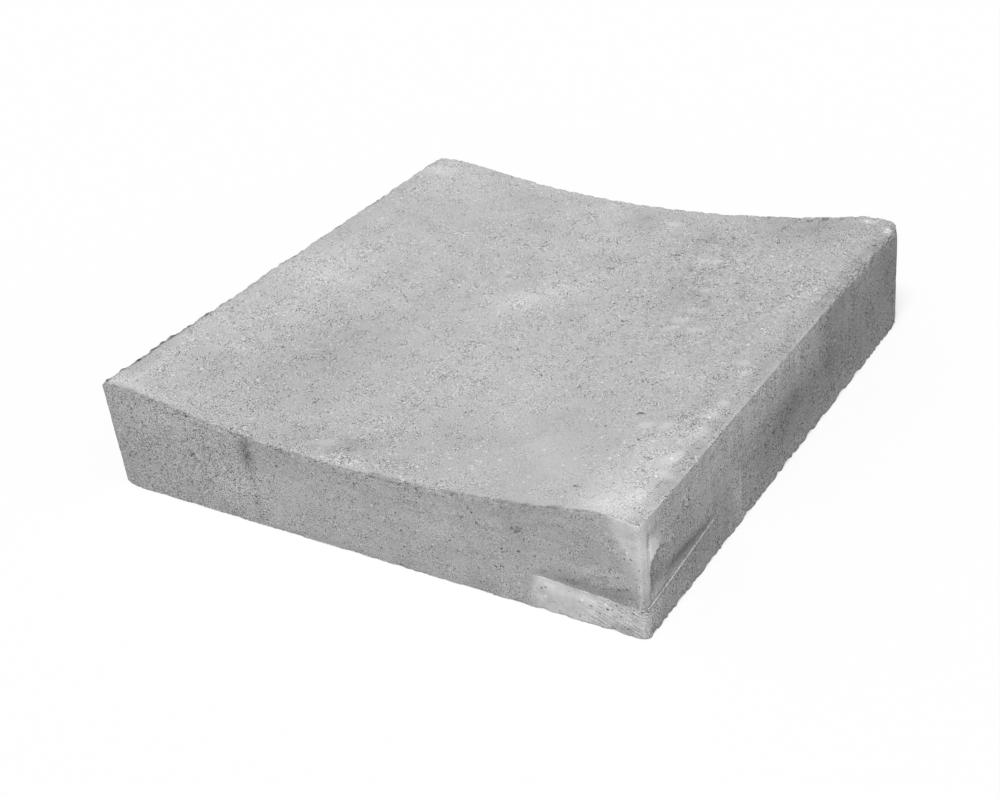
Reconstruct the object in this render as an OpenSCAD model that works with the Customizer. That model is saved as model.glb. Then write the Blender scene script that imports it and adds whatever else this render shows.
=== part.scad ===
// Cast concrete gutter slab, laid end to end in a row so that the dished tops
// make a shallow channel for rain water.
// Frame: +X across the gutter, +Y along it, +Z up, origin under the middle of the slab.

/* [Slab] */
// Width of the slab across the gutter
slab_w = 350; // [250:5:450]
// Length of the slab along the gutter
slab_l = 350; // [250:5:450]
// Thickness of the slab at its two rims
rim_h = 70; // [60:1:100]

/* [Gutter] */
// Depth of the middle of the gutter below the rims
gutter_depth = 15; // [6:1:24]
// Width of the flat rim along each side of the gutter
rim_w = 25; // [14:1:45]

/* [Edges] */
// Radius of the four upright corners
corner_r = 8; // [3:0.5:11]
// Radius of the worn arris along the outside of the left rim
left_arris_r = 6; // [1:0.5:9]
// Radius of the sharper arris along the outside of the right rim
right_arris_r = 1; // [1:0.5:9]

/* [Corner toe] */
// Height of the toe that stands proud at the foot of the near right corner
toe_h = 20; // [12:1:28]
// Length of the toe along the near end of the slab
toe_end_reach = 64; // [40:1:90]
// Length of the toe along the right side of the slab
toe_side_reach = 80; // [40:1:100]
// How far the concrete over the toe sits behind the faces, at the corner itself
setback = 2; // [1:0.5:4]
// Height over the toe at which the setback has run out
setback_rise = 30; // [20:1:32]

/* [Hidden] */
$fn = 96;
// Overshoot of the cutting shapes past the faces that they cut
cut_over = 1;
// Half the width of the gutter, from its middle to a rim
gutter_half_w = slab_w / 2 - rim_w;
// Radius of the circular arc that gives the gutter its depth over its width
gutter_r = (gutter_half_w * gutter_half_w + gutter_depth * gutter_depth) / (2 * gutter_depth);
// Height of the centre of that arc
gutter_centre_z = rim_h - gutter_depth + gutter_r;

// What has to come off a square corner to round it. The sharp corner is at the
// origin, and the corner's two sides run back from it along -X and -Y.
module corner_waste(r) {
    translate([-r, -r])
        difference() {
            square(r + cut_over);
            circle(r = r);
        }
}

// Outline of the slab seen from above, with its four corners rounded.
module plan() {
    difference() {
        square([slab_w, slab_l], center = true);
        for (x = [0, 1], y = [0, 1])
            mirror([x, 0])
                mirror([0, y])
                    translate([slab_w / 2, slab_l / 2])
                        corner_waste(corner_r);
    }
}

// Cross section of the slab, X across and Y up: a block with its two top
// corners rounded and the arc of the gutter cut out of its top.
module section() {
    difference() {
        translate([-slab_w / 2, 0])
            square([slab_w, rim_h]);
        translate([slab_w / 2, rim_h])
            corner_waste(right_arris_r);
        mirror([1, 0])
            translate([slab_w / 2, rim_h])
                corner_waste(left_arris_r);
        translate([0, gutter_centre_z])
            circle(r = gutter_r, $fn = 256);
    }
}

// Cutter for the setback over one face of the toe. The slab's corner is at the
// origin, the face is the plane Y = 0 and the toe ends at Z = 0. It cuts down to a
// plane that is deepest at the corner and meets the face at its reach and rise.
module setback_cutter(reach) {
    slope = [1 / reach, 1 / setback, 1 / setback_rise];
    turn = atan2(slope[1], slope[0]);
    tilt = acos(slope[2] / norm(slope));
    block = 2 * (reach + setback_rise);
    intersection() {
        translate([-cut_over, -cut_over, 0])
            cube([block, block, block]);
        translate([reach, 0, 0])
            rotate([0, tilt, turn])
                translate([-block, -block, -block])
                    cube([2 * block, 2 * block, block]);
    }
}

// One cast piece: plan and section give the block, and the near right corner
// is set back over its toe on both faces.
module gutter_slab() {
    color([0.69, 0.69, 0.68])
        difference() {
            intersection() {
                linear_extrude(height = rim_h)
                    plan();
                rotate([90, 0, 0])
                    linear_extrude(height = slab_l, center = true)
                        section();
            }
            translate([slab_w / 2, -slab_l / 2, toe_h]) {
                mirror([1, 0, 0])
                    setback_cutter(toe_end_reach);
                rotate([0, 0, 90])
                    setback_cutter(toe_side_reach);
            }
        }
}

gutter_slab();
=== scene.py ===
import math

import bpy
import numpy as np
from mathutils import Matrix, Vector, noise


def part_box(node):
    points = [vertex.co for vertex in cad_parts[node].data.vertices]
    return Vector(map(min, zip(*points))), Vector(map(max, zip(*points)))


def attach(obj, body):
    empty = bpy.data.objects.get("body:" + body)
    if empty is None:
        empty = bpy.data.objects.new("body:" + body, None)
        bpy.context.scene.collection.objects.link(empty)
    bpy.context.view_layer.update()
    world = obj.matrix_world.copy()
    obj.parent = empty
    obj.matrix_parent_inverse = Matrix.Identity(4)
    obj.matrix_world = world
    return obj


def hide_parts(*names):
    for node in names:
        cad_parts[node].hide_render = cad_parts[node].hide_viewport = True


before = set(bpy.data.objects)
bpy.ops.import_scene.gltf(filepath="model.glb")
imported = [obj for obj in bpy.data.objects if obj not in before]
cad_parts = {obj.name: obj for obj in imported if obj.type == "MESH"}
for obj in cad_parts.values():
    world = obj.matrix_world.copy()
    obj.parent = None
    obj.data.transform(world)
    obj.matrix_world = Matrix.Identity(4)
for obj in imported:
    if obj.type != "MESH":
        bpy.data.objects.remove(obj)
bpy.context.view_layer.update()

# Gutter slab. The real piece is one block of dry grey concrete, vibrated in a steel mould and
# pushed out of it at once. Its faces are straight but sandy, its arrises crumble, and at one
# corner a skin of cement has crept out under the mould into a low toe. Nothing is fixed to it.
mm = 0.001
high = Vector(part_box("gutter_slab")[1])
half_w = high.x
rim_h = high.z

# Its mesh starts as a fine grid under the mould's pressing plate. The border of that grid is
# drawn out to the arrises in ever narrower rings, down the four faces and in under the slab.
arris_rings = [3.0 * mm, 1.6 * mm, 0.7 * mm, 0.25 * mm, 0.0]
grid_cells = 200
bottom_cells = 56
bottom_inset = 9 * mm
face_pitch = 1.4 * mm
ledge_z = 20 * mm
ledge_rows = [0.9 * mm, 0.3 * mm, 0.0, -0.5 * mm]


def ring_size(inset):
    return (half_w - inset) / half_w


bpy.ops.object.select_all(action="DESELECT")
bpy.ops.mesh.primitive_grid_add(
    x_subdivisions=bottom_cells,
    y_subdivisions=bottom_cells,
    size=2 * (half_w - bottom_inset),
    location=(0, 0, 0),
)
bottom = bpy.context.object
bpy.ops.mesh.primitive_grid_add(
    x_subdivisions=grid_cells,
    y_subdivisions=grid_cells,
    size=2 * (half_w - arris_rings[0]),
    location=(0, 0, rim_h),
)
slab = bpy.context.object
slab.name = "gutter_slab_concrete"
bpy.ops.object.transform_apply(location=True)


def draw_out(size, drop):
    """Extrudes the selected border, then scales it in plan and lowers it."""
    bpy.ops.mesh.extrude_region_move(TRANSFORM_OT_translate={"value": (0, 0, -drop)})
    bpy.ops.transform.resize(value=(size, size, 1), center_override=(0, 0, 0))


bpy.ops.object.mode_set(mode="EDIT")
bpy.ops.mesh.select_mode(type="EDGE")
bpy.ops.mesh.select_all(action="DESELECT")
bpy.ops.mesh.select_non_manifold(extend=False)
for inner, outer in zip(arris_rings, arris_rings[1:]):
    draw_out(ring_size(outer) / ring_size(inner), 0)
heights = [rim_h - inset for inset in reversed(arris_rings)]
rows = round((heights[-1] - ledge_z - ledge_rows[0]) / face_pitch)
heights += list(np.linspace(heights[-1], ledge_z + ledge_rows[0], rows + 1)[1:-1])
heights += [ledge_z + row for row in ledge_rows]
rows = round((heights[-1] - arris_rings[0]) / face_pitch)
heights += list(np.linspace(heights[-1], arris_rings[0], rows + 1)[1:])
heights += arris_rings[1:]
for above, below in zip(heights, heights[1:]):
    draw_out(1, above - below)
for outer, inner in zip(arris_rings[:0:-1], arris_rings[-2::-1]):
    draw_out(ring_size(inner) / ring_size(outer), 0)
bpy.ops.object.mode_set(mode="OBJECT")

bottom.select_set(True)
slab.select_set(True)
bpy.context.view_layer.objects.active = slab
bpy.ops.object.join()
bpy.ops.object.mode_set(mode="EDIT")
bpy.ops.mesh.select_mode(type="EDGE")
bpy.ops.mesh.select_all(action="DESELECT")
bpy.ops.mesh.select_non_manifold(extend=False)
bpy.ops.mesh.bridge_edge_loops()
bpy.ops.mesh.select_all(action="SELECT")
bpy.ops.mesh.normals_make_consistent(inside=False)
bpy.ops.object.mode_set(mode="OBJECT")

# The mould gives the block its box. From here on the vertices are moved from that box to the
# shape that the wet concrete kept. All of it is in millimetres. The grid is first drawn closer
# towards the near right corner, which has the finest shape.
count = len(slab.data.vertices)
place = np.empty(3 * count)
slab.data.vertices.foreach_get("co", place)
x, y, z = place.reshape(-1, 3).T / mm
half = half_w / mm
top = rim_h / mm
even_to = 118
drawn_to = 145
smooth_below = math.radians(35)
x = np.interp(x, (-half, even_to, half), (-half, drawn_to, half))
y = np.interp(y, (-half, -even_to, half), (-half, -drawn_to, half))
hair = 0.01
tiny = 1e-6
box_z = z
box_points = [Vector(p) for p in zip(x, y, z)]
on_face = (np.maximum(abs(x), abs(y)) > half - hair) & (z > hair) & (z < top - hair)
on_top = z > top - hair
front = on_face & (y < hair - half)
right = on_face & (x > half - hair)
left = on_face & (x < hair - half)


def ramp(value, start, end):
    """0 before start and 1 after end, with a smooth turn between them."""
    t = np.clip((value - start) / (end - start), 0, 1)
    return t * t * (3 - 2 * t)


def unevenness(size, seed, octaves=2, tall=1.0):
    """Noise of about -1 to 1 at every vertex, with lumps of this size and times this tall."""
    shift = Vector((seed * 7.3, seed * 3.1, seed * 5.7))
    squash = Vector((1 / size, 1 / size, 1 / (size * tall)))
    return np.array([noise.fractal(p * squash + shift, 1.0, 2.0, octaves) for p in box_points])


def hump(value, at, reach):
    """1 at one place along an edge, falling softly to 0 beyond its reach."""
    return np.exp(-(((value - at) / reach) ** 2))


def patch(a, b, at, reach, turn=0.0):
    """1 in the middle of an oval patch, falling softly to 0 outside it."""
    da = a - at[0]
    db = b - at[1]
    c = math.cos(math.radians(turn))
    s = math.sin(math.radians(turn))
    return np.exp(-(((c * da + s * db) / reach[0]) ** 2) - ((c * db - s * da) / reach[1]) ** 2)


def round_off(a, b, radius):
    """Rounds an arris. a and b are the depths of each vertex under the arris's two faces."""
    near = (a < radius) & (b < radius)
    p = np.clip(1 - a / radius, tiny, 1)
    q = np.clip(1 - b / radius, tiny, 1)
    pull = np.maximum(p, q) / np.hypot(p, q)
    return np.where(near, radius * (1 - p * pull), a), np.where(near, radius * (1 - q * pull), b)


broad = unevenness(70, 1)
lumps = unevenness(16, 2)
crumbs = unevenness(6.5, 3)
sand = unevenness(3.4, 4, octaves=1)
ragged = unevenness(2.3, 6, octaves=1)
drag = unevenness(7, 5, tall=9)
crumbled = np.clip(2.2 * (crumbs + 0.7 * ragged), 0, 1)
steps = ramp(crumbs + 0.8 * ragged, -0.05, 0.2)

# Arrises. The left rim's is broken away in scallops with lumps of sand left standing between them.
# The others crumble a little, most along the near end, along the far half of the right rim and at
# the foot of the right face, and the near foot has lost a few chips. Each radius starts at what
# is worn off everywhere along its arris.
left_wear = 7.2
least_broken = 3.0
most_broken = 12.0
near_wear = 0.5
far_wear = 0.3
right_wear = 0.35
near_foot_wear = 0.1
far_foot_wear = 0.7
side_foot_wear = 0.3
left_lumps = np.zeros(count)
for at, reach in (
    (-171, 2), (-157, 2.5), (-144, 1.5), (-131, 3.5), (-123, 2.5),
    (-113, 4), (-103, 4), (-84, 3), (-71, 2),
):
    left_lumps = np.maximum(left_lumps, hump(y, at, reach))
left_radius = left_wear + 2.2 * crumbs + 1.6 * lumps + 1.8 * ragged - 1.8 * left_lumps
for at, reach, bite in ((-165, 5, 1.0), (-135, 18, 1.0), (-95, 65, 1.8), (-45, 12, 1.6), (25, 50, 1.8)):
    left_radius += bite * hump(y, at, reach)
left_radius = np.clip(left_radius, least_broken, most_broken)

near_broken = np.clip(0.35 + 1.2 * crumbs + 1.3 * ragged, 0, 1) * (1 - 0.8 * ramp(x, 146, 156))
near_radius = near_wear + 1.9 * near_broken + 2.0 * hump(x, 28, 12) + 1.1 * ramp(x, 154, 162)
near_radius += 1.2 * ramp(-x, 62, 80) + 1.0 * ramp(x, 8, 18) * (1 - ramp(x, 104, 114))
far_radius = far_wear + 1.5 * steps
end_radius = np.where(y < 0, near_radius, far_radius)
right_radius = right_wear + 0.3 * crumbled + 2.0 * hump(y, 150, 6)
right_radius += (0.6 + 3.0 * steps) * ramp(y, 45, 65)

near_foot = near_foot_wear + 0.1 * crumbled + 1.1 * steps
for at, reach, bite in (
    (-171, 6, 3.4), (-130, 20, 0.3), (117, 3, 1.6), (128, 2, 1.2), (156, 4, 2.6), (half, 7, 1.0),
):
    near_foot += bite * hump(x, at, reach)
far_foot = far_foot_wear + crumbled + 2.2 * ramp(x + y, 320, 345)
foot_crumbs = 0.8 + np.clip(crumbs + 0.5 * ragged, -0.4, 1)
side_foot = side_foot_wear + (1.8 * steps + 0.7 * crumbs) * ramp(y, -half, -165)
side_foot += foot_crumbs * ramp(y, -70, -50) * (1 - 0.5 * ramp(y, 100, 110))
side_foot += 1.6 * hump(y, -58, 5) + 2.5 * ramp(y, 158, 172)

# How far round the left and the near top arris each vertex lies: 1 on the arris, 0 where it ends.
from_left = x + half
left_turn = (1 - np.where(on_top, from_left, top - z) / left_radius) * (on_top | left)
near_turn = (1 - np.where(on_top, y + half, top - z) / end_radius) * (on_top | front)

depth, drop = round_off(x + half, top - z, left_radius)
x = depth - half
z = top - drop
depth, drop = round_off(half - x, top - z, right_radius)
x = half - depth
z = top - drop
depth, z = round_off(half - x, z, side_foot)
x = half - depth
depth, z = round_off(half + x, z, far_foot)
x = depth - half
for side, foot in ((-1, near_foot), (1, far_foot)):
    depth, drop = round_off(half - side * y, top - z, end_radius)
    y = side * (half - depth)
    z = top - drop
    depth, z = round_off(half - side * y, z, foot)
    y = side * (half - depth)

# Upright corners. Each is worn back some way along the end and some way along the side. The near
# right one is worn further along the side, most of all below the rim. out_x and out_y keep which
# way each vertex on a face looks.
ledge = ledge_z / mm
above_ledge = box_z > ledge + 0.1
worn_over = 4.0 + 7.0 * ramp(top - box_z, 1, 14)
worn_under = 4.0 + 5.0 * ramp(box_z, 3, ledge)
near_right = np.where(above_ledge, worn_over, worn_under)
far_right = 7.5 + 1.5 * ramp(box_z, 50, top)
out_x = np.where(on_face & (abs(x) > half - 1.5), np.sign(x), 0.0)
out_y = np.where(on_face & (abs(y) > half - 1.5), np.sign(y), 0.0)
for side_x, side_y, wear_x, wear_y in (
    (-1, -1, 6.8, 6.8), (1, -1, 4.5, near_right), (1, 1, far_right, far_right), (-1, 1, 8.5, 8.5),
):
    a = (half - side_x * x) / wear_x
    b = (half - side_y * y) / wear_y
    here = (a < 1) & (b < 1) & on_face
    turn_x = np.clip(1 - a, tiny, None) / wear_x
    turn_y = np.clip(1 - b, tiny, None) / wear_y
    length = np.hypot(turn_x, turn_y)
    out_x = np.where(here, side_x * turn_x / length, out_x)
    out_y = np.where(here, side_y * turn_y / length, out_y)
    a, b = round_off(a, b, 1.0)
    x = side_x * (half - a * wear_x)
    y = side_y * (half - b * wear_y)

# Gutter: an arc across the slab, with a soft turn where it meets the two rims. The plate has
# left it half a millimetre fuller along the far end.
rim_w = 25.0
gutter_depth = 15.0
soft_turn = 0.5
far_fullness = 0.5
gutter_half_w = half - rim_w
arc_r = (gutter_half_w ** 2 + gutter_depth ** 2) / (2 * gutter_depth)
below_rim = gutter_depth - (arc_r - np.sqrt(arc_r ** 2 - x ** 2))
sunk = 0.5 * (below_rim + np.sqrt(below_rim ** 2 + soft_turn ** 2))
sunk = sunk - far_fullness * ramp(y, 110, half) * np.clip(sunk / 3, 0, 1) * (1 - ramp(x, 70, 110))

# The right rim sags outwards all along, most near the front, and the rims sag at their corners.
right_sag = 1.7
sag = (right_sag + 0.6 * hump(y, -half, 75) + 0.5 * crumbs) * hump(x, half, 8)
for side_x, side_y, amount, spread in ((1, 1, 0.3, 10), (-1, 1, 0.4, 14), (-1, -1, 0.7, 8)):
    sag += amount * hump(np.hypot(half - side_x * x, half - side_y * y), 0, spread)
z = z - (sunk + sag) * ramp(z, 28, top)

# Toe at the foot of the near right corner. Its top edge climbs away from the corner along both
# faces. On the near end it is a soft shoulder, and on the right side a thin sharp ledge.
from_end = half - x
from_side = y + half
toe_corner_h = 16.8
shoulder_depth = 1.1
hollow_depth = 1.25
hollow_h = 14
end_climb = 3.4 * np.clip(from_end / 64, 0, 1)
side_climb = 5.8 * np.clip((from_side - 3) / 72, 0, 1)
toe_h = toe_corner_h + end_climb + side_climb
end_toe = 1 - ramp(from_end, 58, 66)
side_toe = 1 - ramp(from_side, 70, 80)
toe = on_face * (1 - ramp(from_end, 66, 100)) * (1 - ramp(from_side, 82, 130))
z = z + (toe_h - ledge) * toe * np.clip(1 - abs(box_z - ledge) / 16, 0, 1)
over = z - toe_h
near_corner = 1 - ramp(from_end, 6, 22)
shoulder = (shoulder_depth - 0.5 * near_corner) * ramp(over, -6.5, 0)
end_hollow = (hollow_depth - 0.65 * near_corner) * np.exp(-np.clip(over, 0, None) / hollow_h)
end_hollow = end_hollow + 0.25 * crumbs
y = y + np.where(above_ledge, end_hollow, shoulder) * end_toe * out_y ** 2 * (out_y < 0)

# Over the ledge the right face is broken back. The corner's own skin ends in a crisp upright edge,
# which swings out into a lump at its top. Beside it lies a dish, deepest just behind the edge,
# and further on a long low band under a lip. A groove runs down through the skin beside the lump.
edge_heights = (20, 28, 32, 36, 39, 41.5, 43.5, 45.5, 48, 52, 55, 58, 62)
edge_reaches = (6.5, 6.9, 7.0, 7.4, 7.9, 9.4, 13.5, 18, 17, 14.5, 11, 9, 8)
skin_edge = np.interp(z, edge_heights, edge_reaches)
past_edge = ramp(from_side, skin_edge - 0.3, skin_edge + 0.7)
dish_top = np.interp(from_side, (0, 15, 24, 28, 31), (45.5, 45.5, 43, 32, 20)) + 0.8 * crumbs
dish = np.interp(from_side, (4, 9, 14, 22, 30), (1.8, 2.7, 2.5, 1.3, 0.5))
dish = dish * (0.25 + 0.75 * ramp(over, 0.5, 8)) * past_edge
dish = dish * (1 - ramp(z, dish_top - 1.2, dish_top + 0.8))
behind_lump = 0.6 * past_edge * ramp(z, 43, 45) * (1 - ramp(z, 55, 61)) * (1 - ramp(from_side, 17, 32))
lip = 29.5 - 0.06 * from_side + 2.0 * crumbs
band = (0.5 + 0.35 * ramp(over, 0, 4)) * (1 - ramp(z, lip - 1.5, lip + 1.5)) * ramp(from_side, 4, 30)
first_step = 0.5 * (over < 2)
groove = patch(from_side, z, (8.0, 52.5), (1.0, 7))
broken = np.maximum(dish, np.maximum(band, first_step) * side_toe) * above_ledge
broken = np.maximum(broken, behind_lump) * right
x = np.where(from_end < 30, np.minimum(x, half - broken) - 0.8 * groove * right, x)

# Skin: uneven by a few tenths of a millimetre, and on top torn open in a few small pits. The
# cement that covers the toe is smoother.
skin_depth = 0.14
pit_depth = 0.4
covered = toe * ~above_ledge * (end_toe * side_toe > 0.5)
face_skin = skin_depth + 0.16 * broad + 0.18 * lumps + 0.14 * crumbs + 0.10 * ragged + 0.10 * drag
face_skin = np.clip(face_skin, 0, None) * on_face * (1 - 0.5 * covered)
x = x - out_x * face_skin
y = y - out_y * face_skin
top_skin = skin_depth + 0.22 * broad + 0.20 * lumps + 0.16 * crumbs + 0.12 * ragged
z = z - np.clip(top_skin, 0, None) * on_top
deep_pits = (
    ((20, 82), (3, 1.8)), ((52, 110), (2.5, 1.4)), ((64, 18), (3, 1.4)), ((79, 140), (3, 1.6)),
    ((96, 74), (2.5, 1.4)), ((109, 76), (2, 1.4)), ((117, 170), (3.5, 2)), ((127, -82), (2.5, 1.6)),
    ((127, 171), (3, 1.8)), ((138, -115), (2.5, 1.6)), ((138, 171), (2.5, 1.4)),
)
shallow_pits = (
    ((31, 11), (2.5, 2)), ((57, 134), (4, 1.8)), ((85, 59), (3, 1.4)), ((93, -28), (2.5, 2)),
    ((100, -74), (2, 1.5)), ((121, 33), (4, 1.6)), ((121, 58), (2.5, 1.4)), ((130, -155), (3.5, 2)),
    ((139, -150), (2, 1.4)), ((150, 6), (2, 1.4)), ((157, -135), (2, 1.2)), ((157, 144), (2, 1.6)),
    ((161, -80), (2, 1.5)), ((171, 140), (3, 1.8)),
)
torn = np.zeros(count)
for pits_here, much in ((deep_pits, 1.5), (shallow_pits, 0.85)):
    for at, reach in pits_here:
        torn = np.maximum(torn, much * patch(x + sand, y + ragged, at, reach) * on_top)
z = z - pit_depth * torn

place = np.stack([np.clip(x, -half, half), np.clip(y, -half, half), np.clip(z, 0, top)], axis=1)
slab.data.vertices.foreach_set("co", (place * mm).ravel())
slab.data.update()
bpy.ops.object.shade_smooth_by_angle(angle=smooth_below)


def dabbed(a, b, dabs):
    """Adds up soft oval dabs. Each is its place, its reach, its turn in degrees and how much it adds."""
    total = np.zeros(count)
    for at, reach, turn, much in dabs:
        total += much * patch(a, b, at, reach, turn)
    return total


# Tone of the concrete, painted on the vertices: 1 is its usual grey. Where fine cement paste came up
# under the plate the top dried paler, and where it was open and damp it stayed duller. The borders
# of these places wander by a few millimetres.
wander_x = 5 * lumps
wander_y = 5 * crumbs
top_pale = (
    ((-162, -30), (40, 7), 90, 0.07), ((-161, -166), (10, 8), 0, 0.20),
    ((-158, 155), (14, 12), 0, 0.22), ((-154.5, -138), (34, 4), 90, 0.15),
    ((-150, 66), (12, 10), 0, 0.07), ((-140, -169), (10, 3), 0, 0.08), ((-140, -5), (28, 20), 90, 0.12),
    ((-128, -52), (22, 14), 90, 0.05), ((-124, 42), (22, 14), 90, 0.05),
    ((-15, 145), (38, 12), 112, 0.08), ((-8, -170), (14, 4), 0, 0.12), ((-8, 28), (38, 14), 56, 0.18),
    ((52, -72), (40, 11), -77, 0.07), ((97, -128), (32, 13), -30, 0.07),
    ((125, -38), (20, 11), 0, 0.05), ((148, -128), (26, 13), 70, 0.12), ((151, -168), (9, 4), 0, 0.14),
    ((157, -163), (20, 18), 0, 0.24), ((164, -154), (4, 5), 0, 0.16),
)
top_dull = (
    ((-125, -125), (16, 16), 0, 0.05), ((-85, -90), (72, 38), 90, 0.13),
    ((-75, 150), (20, 16), 0, 0.11), ((-55, 117), (12, 11), 0, 0.10), ((-10, -160), (70, 12), 0, 0.09),
    ((-8, -152), (17, 8), 20, 0.18), ((0, -120), (14, 12), 0, 0.06), ((8, 150), (14, 10), 90, 0.13),
    ((14, 88), (14, 11), 90, 0.12), ((30, 13), (10, 9), 0, 0.08), ((45, -125), (28, 16), 0, 0.10),
    ((60, 133), (14, 7), 90, 0.15), ((80, 62), (36, 14), -61, 0.16), ((117, 62), (10, 6), -60, 0.12),
    ((123, 158), (34, 26), 0, 0.19), ((155, -60), (38, 6), 90, 0.10), ((158, 158), (12, 10), 0, 0.08),
    ((162, 125), (30, 12), 90, 0.06), ((168, 30), (120, 9), 90, 0.10), ((173, 173), (8, 7), 0, 0.16),
)
tone = 1 + 0.05 * broad + 0.05 * lumps
tone += dabbed(x + wander_x, y + wander_y, top_pale) * on_top
tone -= dabbed(x + wander_x, y + wander_y, top_dull) * on_top

# Soft lumps of paler paste stand on the right rim, round its corners and along the near end, and
# two chips at the far right corner show pale.
paste_lumps = (
    ((-24, -158), (6, 3), 20), ((29, 152), (5, 3), 0), ((74, 104), (3, 3), 0), ((83, 104), (3, 3), 0),
    ((96, 14), (4, 3), 0), ((96, 65), (5, 3), 20), ((97, 24), (6, 3), 20), ((99, 38), (4, 3), 0),
    ((112, 13), (5, 3), 0), ((136, -94), (4, 3), 0), ((148, -93), (4, 3), 0), ((158, -22), (4, 3), 0),
    ((162, -31), (3, 3), 0), ((164, -119), (6, 3), 70), ((164, -76), (5, 3), 60),
    ((165, -64), (3, 3), 0), ((167, -133), (4, 3), 0), ((167, -92), (3, 5), 0),
)
paste = np.zeros(count)
for at, reach, turn in paste_lumps:
    paste = np.maximum(paste, np.clip(1.6 * patch(x + sand, y + sand, at, reach, turn), 0, 1) * on_top)
paste_tone = 0.19
chips = (((156.5, 167.7), (4.5, 2), 0, 0.50), ((171, 162), (2.5, 3.5), 0, 0.50))
tone += paste_tone * paste + dabbed(x + sand, y + ragged, chips) * on_top

# The skin of the worn corner is pale: a wedge that narrows downwards on the near end, and on the
# right side the strip and the lump over the dish. The groove beside the lump is painted darker,
# as painted shade in it.
facing_front = np.clip(-out_y, 0, 1) ** 2
facing_side = np.clip(out_x, 0, 1) ** 2
wedge_tone = 0.36
lump_tone = 0.50
strip_tone = 0.45
groove_shade_tone = 0.40
wedge_w = np.interp(z, (22, 30, 38, 46, 54, 62, 68), (3, 4, 5, 9, 13, 16, 17)) + 2 * crumbs
wedge = (1 - ramp(from_end + 2 * ragged, wedge_w - 5, wedge_w + 5)) * above_ledge
lump = lump_tone * hump(from_side, 0, 13) * ramp(z, 43, 49)
strip = strip_tone * (1 - past_edge) * ramp(z, 21, 27) * (1 - ramp(z, 54, 60))
end_tone = wedge_tone * wedge
# Painted shade darkens the groove beside the lump.
side_tone = (np.maximum(lump, strip) - groove_shade_tone * groove) * above_ledge
bare_skin = np.maximum(0.6 * wedge * facing_front, np.clip(side_tone / 0.4, 0, 1) * facing_side)

# Near end: dull and open to the left, with a damp band from top to bottom, scraped dark over the
# toe, and pale where paste covers the toe. Just over the toe's ledge lies a line of painted
# shadow, with a painted highlight on the shoulder above it.
toe_paste_tone = 0.34
ledge_scrape_tone = 0.35
toe_top = ramp(over, -6, -2)
to_corner = ramp(x, 144, 160)
toe_end = 67
pale_toe = on_face * ~above_ledge * ramp(toe_end - from_end + 5 * crumbs + 3 * ragged, 0, 9)
toe_tone = toe_paste_tone - 0.04 * to_corner - toe_top * (0.02 + 0.13 * to_corner)
toe_tone += dabbed(x, z, (((144, 10), (10, 8), 0, 0.08), ((169, 5), (11, 7), 0, -0.15)))
end_tone += pale_toe * toe_tone - 0.05 * ramp(-x, 40, 90) + 0.12 * patch(x, z, (-172, 55), (5, 14))
# The pale dab at 144 mm across and 32 mm up is a painted highlight on the toe's shoulder.
end_pale_and_highlight = (
    ((-142, 38), (12, 8), 0, 0.09), ((-125, 57), (45, 9), 0, 0.20), ((-82, 24), (24, 14), 0, 0.18),
    ((-10, 31), (80, 6), 0, 0.05), ((58, 33), (13, 5), 0, 0.14), ((144, 32), (14, 4), 0, 0.12),
)
# The dull dabs from 133 to 161 mm across and 20 to 30 mm up are painted shadow just over the toe's
# ledge.
end_dull_and_shadow = (
    ((-162, 20), (9, 6), 0, 0.08), ((-160, 10), (8, 7), 0, 0.10), ((-100, 20), (8, 5), 0, 0.14),
    ((-100, 45), (6, 5), 0, 0.08), ((-100, 58), (9, 6), 0, 0.10), ((-90, 3), (16, 3), 0, 0.06),
    ((-70, 40), (14, 6), 0, 0.05), ((-50, 52), (16, 8), 0, 0.08), ((-20, 3), (14, 3), 0, 0.10),
    ((-10, 2), (90, 4), 0, 0.08), ((30, 60), (22, 7), 0, 0.22), ((80, 7), (9, 8), 0, 0.14),
    ((105, 46), (6, 6), 0, 0.10), ((105, 55), (14, 8), 0, 0.10), ((133, 23), (6, 1.6), 8, 0.20),
    ((136, 20), (22, 3.5), 0, 0.08), ((143, 50), (12, 9), -30, 0.12), ((150, 24), (26, 4), 0, 0.18),
    ((150, 30), (5, 1.4), 8, 0.25), ((160, 20), (9, 4), 0, 0.18), ((160, 51), (6, 8), 0, 0.06),
    ((161, 27), (5, 1.6), 20, 0.22), ((174, 42), (4.5, 20), 0, 0.20),
)
end_tone += (dabbed(x + wander_y, z, end_pale_and_highlight) - dabbed(x + wander_y, z, end_dull_and_shadow)) * (1 - covered)
damp_band = (
    ((-74, 59), (5, 1.5), 0, 0.30), ((-68, 48), (4.2, 11), 0, 0.40), ((-67, 16), (2.5, 18), 0, 0.16),
)
toe_stains = (
    ((116, 13), (2.5, 3), 0, 0.30), ((152, 3), (8, 1.5), 0, 0.30), ((165, 5), (6, 1.5), 0, 0.25),
)
end_tone -= dabbed(x + sand, z, damp_band)
end_tone -= dabbed(x + sand, z + ragged, toe_stains) * covered
end_tone += 0.16 * (sand + crumbs) * covered
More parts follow.
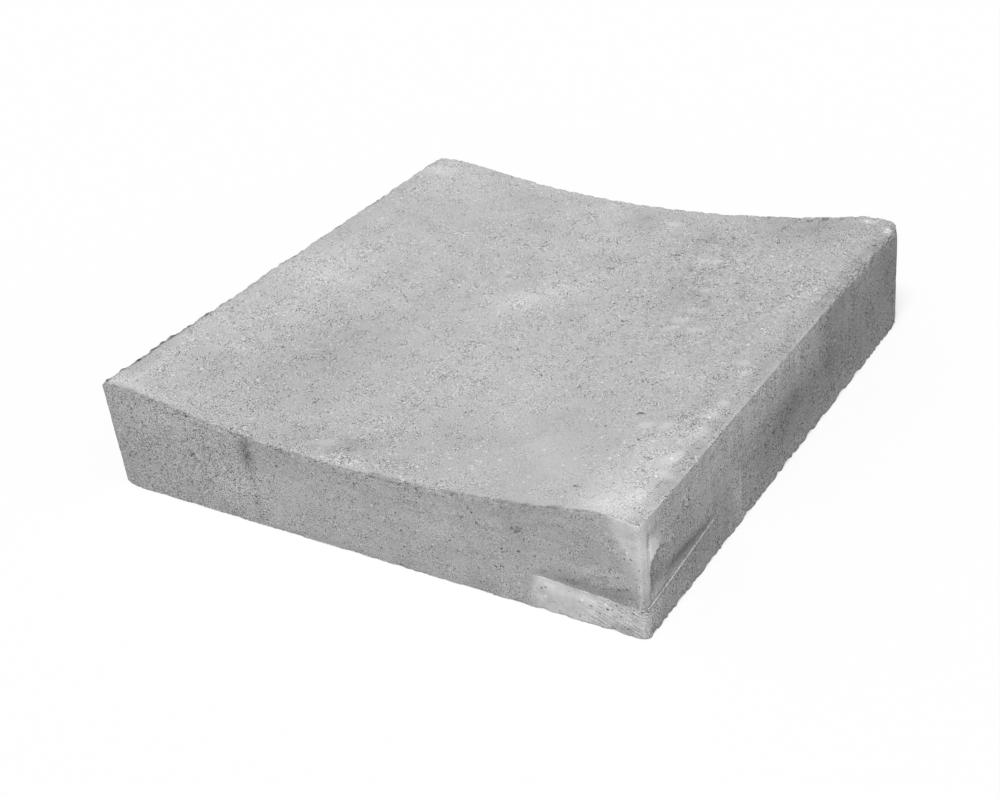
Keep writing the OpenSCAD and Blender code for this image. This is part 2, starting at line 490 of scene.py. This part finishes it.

# Right side: palest near the corner under the rim and duller below from the toe's end onwards,
# partly the face's own tone and partly painted light that falls off away from the near end. Over
# the ledge lies painted shadow in the dish and under the lip, and it is dark in the scrape along
# the ledge.
low_down = 1 - ramp(z, 36, 56)
# Painted light, partly the face's own tone: paler high up towards the near end, duller further off.
side_tone += 0.26 * ramp(z, 25, 58) * (1 - ramp(y, 5, 60)) * ramp(-y, -90, 175) - 0.01
side_tone -= 0.12 * ramp(y, -62, -25) * low_down + 0.10 * ramp(y, 38, 60) * (1 - low_down)
side_pale = (
    ((-172, 13), (9, 8), 0, 0.28), ((-162, 46), (6, 7), 0, 0.17), ((-161, 14), (8, 5), 0, 0.26),
    ((-161, 45), (7, 6), 0, 0.26), ((-151, 44), (2, 0.9), 30, 0.20), ((-148, 35), (4, 0.9), -65, 0.20),
    ((-139, 8), (30, 10), 0, 0.05), ((-115, 35), (18, 5), 0, 0.10), ((-80, 25), (9, 8), 0, 0.08),
    ((-75, 25), (11, 1.6), 90, 0.26), ((-73, 20), (16, 9), 90, 0.14), ((-68, 22), (15, 1.8), 90, 0.38),
    ((-60, 15), (12, 8), 0, 0.06), ((-45, 55), (85, 11), 0, 0.12), ((-10, 65), (75, 5), 0, 0.20),
    ((10, 56), (16, 2.2), 90, 0.18), ((20, 4), (90, 6), 0, 0.14), ((120, 5), (12, 5), 0, 0.10),
)
# The dull dabs from -162 to -127 along and 25 to 29 mm up are painted shadow in the dish and under the
# lip over the ledge, partly dirt there.
side_dull_and_shadow = (
    ((-174, 42), (3, 18), 0, 0.12), ((-162, 26), (14, 4), 0, 0.12), ((-150, 25), (14, 5), 0, 0.12),
    ((-137, 29), (8, 3), 0, 0.10), ((-127, 25.5), (22, 5), -6.5, 0.26), ((-120, 60), (14, 9), 0, 0.06),
    ((-112, 12), (14, 6), 0, 0.06), ((-5, 33), (16, 11), 0, 0.18), ((54, 44), (26, 7), 90, 0.12),
    ((61, 35), (10, 9), 0, 0.08), ((68, 60), (18, 9), 0, 0.16), ((70, 30), (110, 9), 0, 0.08),
    ((140, 54), (14, 12), 0, 0.08), ((162, 42), (13, 18), 0, 0.12),
)
side_tone += dabbed(y + wander_x, z, side_pale) - dabbed(y + wander_x, z, side_dull_and_shadow)
side_tone += 0.16 * np.clip(drag + 0.1, 0, 1) * ramp(z, 42, 60)
side_tone -= ledge_scrape_tone * (abs(over - 0.4) < 1.2) * (1 - ramp(from_side, 14, 32))
tone += end_tone * facing_front + side_tone * facing_side

# Along the right rim runs a duller strip, which is palest again on its very edge.
rim_strip_tone = 0.10
rim_edge_tone = 0.07
rim_strip = rim_strip_tone + 0.06 * (1 - ramp(y, -90, -60)) + 0.06 * ramp(y, 30, 60)
tone -= rim_strip * (1 - ramp(y, 150, 157)) * (1 - ramp(from_end, 6, 10)) * on_top
tone += rim_edge_tone * on_top * (1 - ramp(from_end, 0.8, 2.2)) * (1 - ramp(y, 40, 90))

# Torn concrete, open and dark: on the broken left arris, along the crumbled edges of the rims
# and ends, in a chain of pits and the damp band on the near end, and where the toe was scraped.
# On the left arris part of this dark is painted shade, in its notches and on the shaded sides of
# its lumps. The near top arris is painted darker, partly open concrete and partly painted shade
# that gives its top side the near end's duller light.
# Left arris notches: partly open pores, partly painted shade in the notches.
left_notches_open_and_shade = ramp(left_turn, 0.30, 0.55) * ramp(crumbs + 0.7 * ragged, 0.0, 0.3)
open_right = on_top * (1 - ramp(from_end, 2, 5)) * crumbled * ramp(y, 50, 85)
open_far = on_top * (1 - ramp(half - y, 1.5, 4)) * crumbled * ramp(x, 60, 100)
open_near = on_top * (1 - ramp(y + half, 0.8, 2.8)) + front * (1 - ramp(top - box_z, 3, 9))
open_near = open_near * near_broken * (1 - ramp(x, 140, 152))
# Near top arris: partly dark open concrete, partly painted shade like the near end's light.
near_arris_open_and_shade = np.where(on_top, ramp(near_turn, 0, 0.3), np.clip(near_turn, 0, 1)) * (y < 0)
# Painted shade on the shaded sides of the left arris's lumps, and a little along its near part.
left_arris_painted_shade = (0.72 * left_lumps + 0.12 * ramp(-y, 60, 90)) * (1 - ramp(from_left, 5, 7.5))
tone -= 0.35 * left_notches_open_and_shade + 0.15 * open_right + 0.10 * open_near
tone -= 0.32 * near_arris_open_and_shade * (1 - 0.4 * ramp(x, 148, 158))
tone -= left_arris_painted_shade * (1 - ramp(top - box_z, 0.5, 2.5))
# Torn takes in the left notches as well, with their painted shade.
for some in (left_notches_open_and_shade, 0.6 * open_right, 0.8 * open_far, 0.45 * open_near):
    torn = np.maximum(torn, some)
torn_end = (
    ((-149, 34), (5, 2.5), -30, 0.45), ((-130, 37), (6, 2.5), -30, 0.45),
    ((-122, 27), (5, 2), -20, 0.60), ((-98, 42), (8, 3), -20, 0.40), ((-74, 59), (5, 1), 0, 0.80),
    ((-68, 47), (11, 2.6), 90, 0.80), ((-67, 16), (16, 1.8), 90, 0.40), ((93, 19), (4, 2.5), 0, 0.50),
    ((105, 46), (5, 4), 0, 0.80), ((116, 14), (2, 2.5), 0, 0.60), ((131, 56), (3, 2), 0, 0.60),
    ((133, 22.5), (5, 0.9), 8, 0.80), ((150, 30), (4, 0.9), 8, 0.80), ((152, 2.5), (7, 1.2), 0, 0.60),
    ((161, 27), (4, 1), 20, 0.80), ((165, 5), (6, 1), 10, 0.50),
)
for at, reach, turn, much in torn_end:
    torn = np.maximum(torn, much * patch(x + sand, z + ragged, at, reach, turn) * facing_front)

# Grain is how coarse the sand shows. It is fine where paste lies on it, less so where the toe was
# raked, and coarse to the left on the near end and along the right side.
raked = ramp(x, 134, 146)
grain = 1.03 + 0.15 * broad - 0.65 * paste - 0.75 * np.clip(bare_skin, 0, 1)
grain += facing_front * (0.42 * ramp(-x, 40, 90) - 0.08 * ramp(x, 50, 90) - 0.32)
grain -= facing_front * covered * 0.48 * (1 - 0.6 * raked)
grain += facing_side * (0.36 * ramp(y, -110, -40) + 0.35 * ramp(y, 40, 110) - 0.08)
grain += on_top * dabbed(x, y, (
    ((85, 110), (60, 50), -20, 0.25), ((100, -130), (60, 45), 0, -0.55),
    ((-120, 130), (50, 50), 0, -0.20), ((152, -160), (30, 18), 0, -0.35),
    ((160, -174), (18, 5), 0, -0.40),
))

# Pits is the share of open pores, which paste closes.
pits = 0.25 + 0.15 * broad - 0.3 * paste - 0.5 * bare_skin
pits += on_top * (dabbed(x, y, (
    ((60, -10), (60, 60), 0, 0.20), ((150, -160), (40, 22), 0, -0.20), ((160, -174), (18, 5), 0, -0.15),
)) - 0.12)
pits += facing_front * (0.12 + 0.30 * ramp(-x, 20, 120) - 0.15 * covered)
pits -= facing_side * (0.18 - 0.08 * ramp(y, -110, -60) + 0.10 * ramp(y, -40, 40))

# Pebbles is where rounded grit stands out of the top, and flakes is the share of pale grains.
pebbles = on_top * (1 - 0.8 * paste) * dabbed(x, y, (
    ((86, 105), (30, 46), 15, 0.9), ((148, 72), (30, 22), -60, 0.8), ((120, 0), (60, 60), 0, 0.55),
    ((170, 120), (8, 60), 0, 0.5),
))
flakes = 0.02 + on_top * (0.02 + dabbed(x, y, (
    ((86, 105), (45, 45), 0, 0.10), ((135, 40), (28, 50), 0, 0.10), ((-5, -168), (55, 9), 0, 0.4),
    ((-5, -140), (60, 18), 0, 0.06), ((163, -80), (7, 32), 0, 0.2), ((163, 155), (14, 18), 0, 0.6),
    ((160, 78), (12, 22), 0, 0.4), ((160, -167), (14, 7), 0, 0.1),
)))

# Streaks is how much a face was scored as it slid out of the mould, scrapes is where the toe was
# raked towards the corner, and even is where the sand lies spread evenly, not in clusters.
streaks = facing_side + 0.35 * facing_front
scrapes = pale_toe * raked
even = (0.4 + 0.3 * ramp(-x, 40, 90)) * facing_front
for name, values in (
    ("tone", tone), ("torn", torn), ("grain", grain), ("pits", pits), ("pebbles", pebbles),
    ("flakes", flakes), ("streaks", streaks), ("scrapes", scrapes), ("even", even),
):
    layer = slab.data.attributes.new(name, "FLOAT", "POINT")
    layer.data.foreach_set("value", np.clip(values, 0, 2).astype(np.float32))

# The concrete itself: sand and grit in grey cement, matt, with open pores, pale grains that are
# cut clean, and faint upright drag lines where the faces slid out of the mould.
grey = 0.503
darkest = 0.04
between_spots = 1.055
dark_pull = 0.4
ruffle = 1.5 * mm
relief_depth = 0.2 * mm
concrete = bpy.data.materials.new("pressed_concrete")
concrete.use_nodes = True
nodes = concrete.node_tree.nodes
links = concrete.node_tree.links
bsdf = nodes["Principled BSDF"]
bsdf.inputs["Roughness"].default_value = 0.92
bsdf.inputs["Specular IOR Level"].default_value = 0.25
coordinates = nodes.new("ShaderNodeTexCoord").outputs["Object"]


def painted(name):
    """The value painted on the slab's vertices under this name."""
    attribute = nodes.new("ShaderNodeAttribute")
    attribute.attribute_name = name
    return attribute.outputs["Fac"]


def calc(kind, first, second=0.0, third=None):
    """One Math node. Each value is a number or another node's output."""
    node = nodes.new("ShaderNodeMath")
    node.operation = kind
    for socket, value in zip(node.inputs, (first, second, third)):
        if isinstance(value, (int, float)):
            socket.default_value = value
        elif value is not None:
            links.new(value, socket)
    return node.outputs[0]


def times(first, second):
    return calc("MULTIPLY", first, second)


def between(value, start, end):
    """0 where the value is at start, 1 where it is at end, with a smooth turn between them."""
    step = nodes.new("ShaderNodeMapRange")
    step.interpolation_type = "SMOOTHSTEP"
    step.inputs["From Min"].default_value = start
    step.inputs["From Max"].default_value = end
    links.new(value, step.inputs["Value"])
    return step.outputs[0]


def mixed(*parts):
    """Adds up (value, weight) pairs."""
    total = 0.0
    for value, weight in parts:
        total = calc("MULTIPLY_ADD", value, weight, total)
    return total


def grains(per_metre, detail, stretch=(1, 1, 1), turn=0):
    """Soft random grain of about -1 to 1, drawn out along the axes after a turn about Y."""
    placed = nodes.new("ShaderNodeMapping")
    placed.vector_type = "TEXTURE"
    placed.inputs["Scale"].default_value = stretch
    placed.inputs["Rotation"].default_value = (0, math.radians(turn), 0)
    links.new(coordinates, placed.inputs["Vector"])
    texture = nodes.new("ShaderNodeTexNoise")
    texture.inputs["Scale"].default_value = per_metre
    texture.inputs["Detail"].default_value = detail
    texture.inputs["Roughness"].default_value = 0.6
    links.new(placed.outputs[0], texture.inputs["Vector"])
    return times(calc("SUBTRACT", texture.outputs["Fac"], 0.5), 4.0)


def ruffled(amount):
    """The place on the slab, shaken by this many metres, so that nothing drawn on it is round."""
    shake = nodes.new("ShaderNodeTexNoise")
    shake.inputs["Scale"].default_value = 700
    shake.inputs["Detail"].default_value = 2
    links.new(coordinates, shake.inputs["Vector"])
    middle = nodes.new("ShaderNodeVectorMath")
    middle.operation = "SUBTRACT"
    middle.inputs[1].default_value = (0.5, 0.5, 0.5)
    links.new(shake.outputs["Color"], middle.inputs[0])
    moved = nodes.new("ShaderNodeVectorMath")
    moved.operation = "MULTIPLY_ADD"
    moved.inputs[1].default_value = (amount, amount, amount)
    links.new(middle.outputs[0], moved.inputs[0])
    links.new(coordinates, moved.inputs[2])
    return moved.outputs[0]


def cells(per_metre):
    """Ragged cells, this many to a metre: how far from their middle, and a random value for each."""
    texture = nodes.new("ShaderNodeTexVoronoi")
    texture.inputs["Scale"].default_value = per_metre
    links.new(ragged_place, texture.inputs["Vector"])
    pick = nodes.new("ShaderNodeSeparateColor")
    links.new(texture.outputs["Color"], pick.inputs[0])
    return texture.outputs["Distance"], pick.outputs[0]


def scattered(per_metre, size, share):
    """1 inside scattered ragged spots, 0 outside them. The share of cells with one can be painted."""
    distance, pick = cells(per_metre)
    return times(between(distance, size, size * 0.4), calc("LESS_THAN", pick, share))


ragged_place = ruffled(ruffle)
open_share = painted("pits")

# The sand lies in clusters, more so on some faces than on others.
sown = mixed((grains(90, 2), 0.75), (grains(260, 1), 0.65), (0.97, 1.0))
spread = calc("SUBTRACT", 1.0, painted("even"))
clusters = calc("MULTIPLY_ADD", calc("SUBTRACT", calc("MAXIMUM", sown, 0.15), 1.0), spread, 1.0)
coarseness = times(painted("grain"), clusters)
fine_sand = grains(1500, 1)
coarse_sand = grains(850, 2)
grit = grains(300, 2)
cloud = grains(60, 3)

# Where the paste is missing the sand is open, with small and large pores, and deeper holes where
# the concrete is torn; in the left arris's notches these dark holes are partly painted shade. Some
# grains are cut through and show pale.
open_sand = times(between(grains(820, 2), -0.45, -1.0), times(clusters, open_share))
small_pores = scattered(430, 0.36, times(open_share, 0.36))
large_pores = scattered(190, 0.20, times(open_share, 0.22))
holes = between(calc("SUBTRACT", grains(600, 2), times(painted("torn"), 1.1)), -0.8, -1.15)
pale_grains = scattered(330, 0.40, painted("flakes"))
drag_lines = times(grains(420, 2, stretch=(1, 1, 20)), painted("streaks"))
scrape_lines = times(grains(700, 2, stretch=(10, 1, 1), turn=22), painted("scrapes"))

# Rounded grit where the paste has sunk away from it: domes with dark joints between them.
stone_middle, stone_pick = cells(400)
pebbled = painted("pebbles")
dome = times(between(stone_middle, 0.62, 0.1), pebbled)
joint = times(between(stone_middle, 0.42, 0.66), pebbled)
stone_tone = times(calc("SUBTRACT", stone_pick, 0.5), pebbled)

speckle = times(mixed((fine_sand, 0.68), (coarse_sand, 0.08), (grit, 0.06)), coarseness)
speckle = calc("SUBTRACT", speckle, times(times(speckle, speckle), dark_pull))
shade = mixed(
    (speckle, 1.0), (cloud, 0.04), (drag_lines, 0.08), (scrape_lines, 0.10), (pale_grains, 0.40),
    (open_sand, -0.6), (holes, -0.5), (small_pores, -0.45), (large_pores, -0.5),
    (joint, -0.13), (dome, 0.12), (stone_tone, 0.27),
)
shade = times(calc("ADD", shade, between_spots), painted("tone"))
shade = calc("MAXIMUM", times(shade, grey), darkest)
colour = nodes.new("ShaderNodeCombineColor")
for channel in colour.inputs:
    links.new(shade, channel)
links.new(colour.outputs[0], bsdf.inputs["Base Color"])

relief = times(mixed((fine_sand, 0.25), (coarse_sand, 0.35), (grit, 0.3)), coarseness)
relief = mixed(
    (relief, 1.0), (drag_lines, 0.5), (scrape_lines, 0.8), (open_sand, -0.7), (holes, -2.0),
    (small_pores, -1.2), (large_pores, -2.0), (dome, 1.6),
)
bump = nodes.new("ShaderNodeBump")
bump.inputs["Strength"].default_value = 1.0
bump.inputs["Distance"].default_value = relief_depth
links.new(relief, bump.inputs["Height"])
links.new(bump.outputs[0], bsdf.inputs["Normal"])
slab.data.materials.clear()
slab.data.materials.append(concrete)

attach(slab, "root")
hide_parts("gutter_slab")

# Floor: a plain pale sweep that the slab lies on. It shows white and keeps the slab's shadow, but
# throws back only as much light as a grey one, so that the slab's faces stay apart in tone.
floor_size = 8
shown_tone = (1.0, 1.0, 1.0, 1)
lighting_tone = (0.35, 0.35, 0.35, 1)
glow_share = 0.5
bpy.ops.object.select_all(action="DESELECT")
bpy.ops.mesh.primitive_plane_add(size=floor_size, location=(0, 0, 0))
floor = bpy.context.object
floor.name = "floor"
floor_paint = bpy.data.materials.new("floor_paint")
floor_paint.use_nodes = True
nodes = floor_paint.node_tree.nodes
links = floor_paint.node_tree.links
nodes.clear()
seen = nodes.new("ShaderNodeLightPath")
colour = nodes.new("ShaderNodeMix")
colour.data_type = "RGBA"
colour.inputs["A"].default_value = lighting_tone
colour.inputs["B"].default_value = shown_tone
diffuse = nodes.new("ShaderNodeBsdfDiffuse")
glow = nodes.new("ShaderNodeEmission")
glow.inputs["Strength"].default_value = 1
both = nodes.new("ShaderNodeMixShader")
out = nodes.new("ShaderNodeOutputMaterial")
links.new(seen.outputs["Is Camera Ray"], colour.inputs["Factor"])
links.new(times(seen.outputs["Is Camera Ray"], glow_share), both.inputs["Fac"])
links.new(colour.outputs["Result"], diffuse.inputs["Color"])
links.new(diffuse.outputs[0], both.inputs[1])
links.new(glow.outputs[0], both.inputs[2])
links.new(both.outputs[0], out.inputs["Surface"])
floor.data.materials.append(floor_paint)

# Light: a broad soft key from high over the near end, a little to the right, and an even white
# room that lights the slab less than it shows behind it.
key_strength = 2.5
key_spread = math.radians(25)
toward_key = Vector((0.176, -0.465, 0.867))
room_lighting = 0.3
room_shown = 1.0
key = bpy.data.lights.new("key", "SUN")
key.energy = key_strength
key.angle = key_spread
key_lamp = bpy.data.objects.new("key", key)
bpy.context.scene.collection.objects.link(key_lamp)
key_lamp.rotation_euler = toward_key.to_track_quat("Z", "Y").to_euler()

room = bpy.data.worlds.new("room")
bpy.context.scene.world = room
room.use_nodes = True
nodes = room.node_tree.nodes
links = room.node_tree.links
background = nodes["Background"]
background.inputs["Color"].default_value = (1, 1, 1, 1)
seen = nodes.new("ShaderNodeLightPath")
glassy = calc("MAXIMUM", seen.outputs["Is Glossy Ray"], seen.outputs["Is Transmission Ray"])
level = nodes.new("ShaderNodeMapRange")
level.inputs["To Min"].default_value = room_lighting
level.inputs["To Max"].default_value = room_shown
links.new(calc("MAXIMUM", seen.outputs["Is Camera Ray"], glassy), level.inputs["Value"])
links.new(level.outputs["Result"], background.inputs["Strength"])

# Camera: over the near right corner, looking down across the slab, and tipped a little. It stands
# about a metre off, with a slightly long lens.
azimuth = math.radians(35.4)
elevation = math.radians(30.3)
tip = math.radians(-6.9)
aim = Vector((-15.0, -5.9, 0)) * mm
distance = 0.958
back = Vector((
    math.sin(azimuth) * math.cos(elevation),
    -math.cos(azimuth) * math.cos(elevation),
    math.sin(elevation),
))
level_right = Vector((math.cos(azimuth), math.sin(azimuth), 0))
level_up = back.cross(level_right)
camera_right = math.cos(tip) * level_right + math.sin(tip) * level_up
camera_up = math.cos(tip) * level_up - math.sin(tip) * level_right
lens = bpy.data.cameras.new("camera")
lens.lens = 55.6
lens.sensor_width = 36
lens.clip_start = 0.01
camera = bpy.data.objects.new("camera", lens)
bpy.context.scene.collection.objects.link(camera)
turned = Matrix((camera_right, camera_up, back)).transposed().to_4x4()
camera.matrix_world = Matrix.Translation(aim + distance * back) @ turned
bpy.context.scene.camera = camera
bpy.context.scene.view_settings.view_transform = "Standard"
